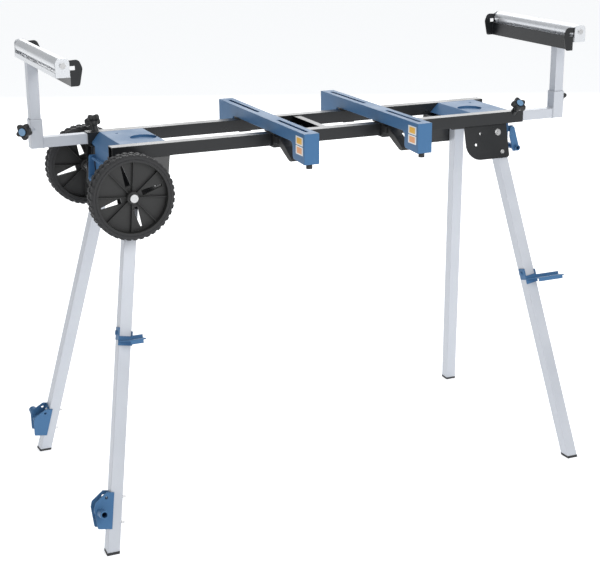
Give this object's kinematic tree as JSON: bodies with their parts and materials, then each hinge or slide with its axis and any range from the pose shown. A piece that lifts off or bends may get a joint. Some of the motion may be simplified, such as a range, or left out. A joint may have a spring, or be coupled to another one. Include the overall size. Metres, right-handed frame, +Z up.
{
  "type": "mitre saw stand",
  "caption": "Folding mitre saw stand: box rails on splayed folding legs, sliding saw beams, pull-out roller supports and transport wheels.",
  "frame": {"origin": "middle of everything the stand covers in plan, on the floor", "axes": "+X along the rails towards the end without wheels, -Y the front, +Z up"},
  "size_m": [1.4642, 0.7044, 1.138],
  "materials": {
    "black_paint": "satin powder coat",
    "blue_paint": "satin powder coat",
    "silver_paint": "satin silver powder coat",
    "zinc_steel": "zinc plated",
    "bright_steel": "bright zinc",
    "black_plastic": "moulded",
    "blue_plastic": "moulded",
    "dark_rubber": "matt",
    "tyre_rubber": "matt"
  },
  "bodies": {
    "frame": {"front_rail": "black_paint", "rear_rail": "black_paint", "cross_brace": "black_paint", "left_end_cover": "blue_paint", "right_end_cover": "blue_paint", "wheel_axle": "bright_steel", "axle_caps": "bright_steel", "leg_bracket_bolts": "bright_steel", "front_left_leg_bracket": "black_paint", "front_right_leg_bracket": "black_paint", "rear_left_leg_bracket": "black_paint", "rear_right_leg_bracket": "black_paint"},
    "left_arm": {"left_extension_arm": "silver_paint"},
    "left_post": {"left_post": "silver_paint", "left_roller_channel": "zinc_steel", "left_roller_axle": "bright_steel"},
    "left_roller": {"left_roller": "zinc_steel"},
    "left_stop": {"left_length_stop": "black_paint"},
    "left_rail_knob": {"left_rail_knob": "black_plastic", "left_rail_knob_cap": "blue_plastic"},
    "left_post_knob": {"left_post_knob": "black_plastic", "left_post_knob_cap": "blue_plastic"},
    "left_handle": {"left_end_handle": "blue_paint"},
    "left_beam": {"left_saw_beam": "blue_paint", "left_beam_saddles": "black_plastic", "left_beam_buffers": "dark_rubber"},
    "left_lever": {"left_clamp_lever": "black_plastic"},
    "right_arm": {"right_extension_arm": "silver_paint"},
    "right_post": {"right_post": "silver_paint", "right_roller_channel": "zinc_steel", "right_roller_axle": "bright_steel"},
    "right_roller": {"right_roller": "zinc_steel"},
    "right_stop": {"right_length_stop": "black_paint"},
    "right_rail_knob": {"right_rail_knob": "black_plastic", "right_rail_knob_cap": "blue_plastic"},
    "right_post_knob": {"right_post_knob": "black_plastic", "right_post_knob_cap": "blue_plastic"},
    "right_handle": {"right_end_handle": "blue_paint"},
    "right_beam": {"right_saw_beam": "blue_paint", "right_beam_saddles": "black_plastic", "right_beam_buffers": "dark_rubber"},
    "right_lever": {"right_clamp_lever": "black_plastic"},
    "front_wheel": {"front_wheel": "black_plastic", "front_tyre": "tyre_rubber"},
    "front_left_leg": {"front_left_leg": "silver_paint", "front_left_foot_cap": "dark_rubber", "front_left_leg_clip": "blue_paint", "front_left_foot_bracket": "blue_paint", "front_left_foot_bolts": "bright_steel"},
    "front_right_leg": {"front_right_leg": "silver_paint", "front_right_foot_cap": "dark_rubber", "front_right_leg_clip": "blue_paint"},
    "rear_wheel": {"rear_wheel": "black_plastic", "rear_tyre": "tyre_rubber"},
    "rear_left_leg": {"rear_left_leg": "silver_paint", "rear_left_foot_cap": "dark_rubber", "rear_left_foot_bracket": "blue_paint", "rear_left_foot_bolts": "bright_steel"},
    "rear_right_leg": {"rear_right_leg": "silver_paint", "rear_right_foot_cap": "dark_rubber"}
  },
  "joints": [
    {"name": "left_arm_slide", "type": "slide", "parent": "frame", "child": "left_arm", "axis": [-1, 0, 0], "range_m": [-0.09, 0.25]},
    {"name": "left_post_slide", "type": "slide", "parent": "left_arm", "child": "left_post", "axis": [0, 0, 1], "range_m": [0, 0.045]},
    {"name": "left_roller_spin", "type": "hinge", "parent": "left_post", "child": "left_roller", "pos_m": [-0.67803, 0, 1.122], "axis": [0, 1, 0], "continuous": true},
    {"name": "left_stop_flip", "type": "hinge", "parent": "left_post", "child": "left_stop", "pos_m": [-0.67803, 0, 1.122], "axis": [0, -1, 0], "range_deg": [0, 175]},
    {"name": "left_rail_knob_turn", "type": "hinge", "parent": "frame", "child": "left_rail_knob", "pos_m": [-0.52503, 0.117, 0.915], "axis": [0, 0.7071, 0.7071], "continuous": true},
    {"name": "left_post_knob_turn", "type": "hinge", "parent": "left_arm", "child": "left_post_knob", "pos_m": [-0.69303, 0.087, 0.9351], "axis": [-0.7071, -0.7071, 0], "continuous": true},
    {"name": "left_handle_hinge", "type": "hinge", "parent": "frame", "child": "left_handle", "pos_m": [-0.55203, 0, 0.858], "axis": [0, 1, 0], "range_deg": [0, 35], "stiffness_Nm_per_rad": 0.4, "springref_deg": -20.05},
    {"name": "left_beam_slide", "type": "slide", "parent": "frame", "child": "left_beam", "axis": [1, 0, 0], "range_m": [-0.22, 0.1]},
    {"name": "left_lever_hinge", "type": "hinge", "parent": "left_beam", "child": "left_lever", "pos_m": [-0.13503, -0.138, 0.902], "axis": [1, 0, 0], "range_deg": [0, 35]},
    {"name": "right_arm_slide", "type": "slide", "parent": "frame", "child": "right_arm", "axis": [1, 0, 0], "range_m": [-0.08, 0.25]},
    {"name": "right_post_slide", "type": "slide", "parent": "right_arm", "child": "right_post", "axis": [0, 0, 1], "range_m": [0, 0.045]},
    {"name": "right_roller_spin", "type": "hinge", "parent": "right_post", "child": "right_roller", "pos_m": [0.67697, 0, 1.122], "axis": [0, 1, 0], "continuous": true},
    {"name": "right_stop_flip", "type": "hinge", "parent": "right_post", "child": "right_stop", "pos_m": [0.67697, 0, 1.122], "axis": [0, 1, 0], "range_deg": [0, 175]},
    {"name": "right_rail_knob_turn", "type": "hinge", "parent": "frame", "child": "right_rail_knob", "pos_m": [0.53897, -0.117, 0.915], "axis": [0, -0.7071, 0.7071], "continuous": true},
    {"name": "right_post_knob_turn", "type": "hinge", "parent": "right_arm", "child": "right_post_knob", "pos_m": [0.69197, -0.087, 0.9351], "axis": [0.7071, 0.7071, 0], "continuous": true},
    {"name": "right_handle_hinge", "type": "hinge", "parent": "frame", "child": "right_handle", "pos_m": [0.56597, 0, 0.858], "axis": [0, -1, 0], "range_deg": [0, 25], "stiffness_Nm_per_rad": 0.4, "springref_deg": -20.05},
    {"name": "right_beam_slide", "type": "slide", "parent": "frame", "child": "right_beam", "axis": [1, 0, 0], "range_m": [-0.035, 0.18]},
    {"name": "right_lever_hinge", "type": "hinge", "parent": "right_beam", "child": "right_lever", "pos_m": [0.16197, -0.138, 0.902], "axis": [1, 0, 0], "range_deg": [0, 35]},
    {"name": "front_wheel_spin", "type": "hinge", "parent": "frame", "child": "front_wheel", "pos_m": [-0.53503, -0.1945, 0.815], "axis": [0, 1, 0], "continuous": true},
    {"name": "front_left_leg_fold", "type": "hinge", "parent": "frame", "child": "front_left_leg", "pos_m": [-0.50703, -0.10639, 0.8155], "axis": [0, 0.9659, -0.2588], "range_deg": [-100.25, 0]},
    {"name": "front_right_leg_fold", "type": "hinge", "parent": "frame", "child": "front_right_leg", "pos_m": [0.49297, -0.095, 0.858], "axis": [0, 0.9659, -0.2588], "range_deg": [0, 98.45]},
    {"name": "rear_wheel_spin", "type": "hinge", "parent": "frame", "child": "rear_wheel", "pos_m": [-0.53503, 0.1945, 0.815], "axis": [0, 1, 0], "continuous": true},
    {"name": "rear_left_leg_fold", "type": "hinge", "parent": "frame", "child": "rear_left_leg", "pos_m": [-0.50703, 0.10639, 0.8155], "axis": [0, 0.9659, 0.2588], "range_deg": [-100.25, 0]},
    {"name": "rear_right_leg_fold", "type": "hinge", "parent": "frame", "child": "rear_right_leg", "pos_m": [0.49297, 0.095, 0.858], "axis": [0, 0.9659, 0.2588], "range_deg": [0, 98.45]}
  ]
}
